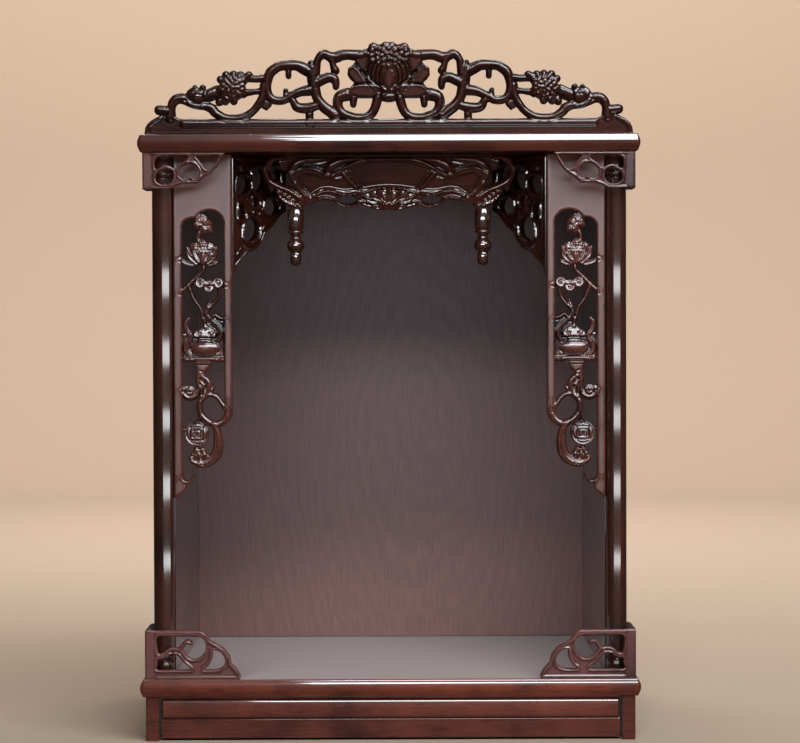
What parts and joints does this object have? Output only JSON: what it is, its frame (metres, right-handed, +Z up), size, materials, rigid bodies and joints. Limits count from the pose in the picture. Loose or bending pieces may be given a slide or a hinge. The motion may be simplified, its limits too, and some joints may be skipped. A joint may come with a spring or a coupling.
{
  "type": "household altar cabinet",
  "caption": "Open-fronted shrine cabinet of dark lacquered wood: carved scroll crest, pierced side boards, hanging canopy, round front columns and a plinth on corner posts.",
  "frame": {"origin": "on the ground, under the middle of the cabinet's width and depth", "axes": "+Z up, -Y towards the open front, +X to the right as seen from the front"},
  "size_m": [0.502, 0.33, 0.7013],
  "materials": {
    "lacquered_hardwood": "high-gloss dark red-brown lacquer over close-grained hardwood",
    "lacquered_panel": "satin lacquer over a board with a tall oval grain"
  },
  "bodies": {
    "root": {"apron_back": "lacquered_hardwood", "apron_front": "lacquered_hardwood", "apron_left": "lacquered_hardwood", "apron_right": "lacquered_hardwood", "back_panel": "lacquered_panel", "base_slab": "lacquered_hardwood", "canopy_board": "lacquered_hardwood", "column_left": "lacquered_hardwood", "column_right": "lacquered_hardwood", "crest": "lacquered_hardwood", "foot_post_bl": "lacquered_hardwood", "foot_post_br": "lacquered_hardwood", "foot_post_fl": "lacquered_hardwood", "foot_post_fr": "lacquered_hardwood", "fret_board_left": "lacquered_hardwood", "fret_board_right": "lacquered_hardwood", "pendant_left": "lacquered_hardwood", "pendant_right": "lacquered_hardwood", "rail_bracket_front_left": "lacquered_hardwood", "rail_bracket_front_right": "lacquered_hardwood", "rail_bracket_side_left": "lacquered_hardwood", "rail_bracket_side_right": "lacquered_hardwood", "rear_post_left": "lacquered_hardwood", "rear_post_right": "lacquered_hardwood", "roof_bracket_front_left": "lacquered_hardwood", "roof_bracket_front_right": "lacquered_hardwood", "roof_bracket_side_left": "lacquered_hardwood", "roof_bracket_side_right": "lacquered_hardwood", "roof_slab": "lacquered_hardwood", "side_panel_left": "lacquered_hardwood", "side_panel_right": "lacquered_hardwood", "waist_front": "lacquered_hardwood", "waist_left": "lacquered_hardwood", "waist_right": "lacquered_hardwood", "wing_left": "lacquered_hardwood", "wing_right": "lacquered_hardwood"}
  },
  "joints": []
}
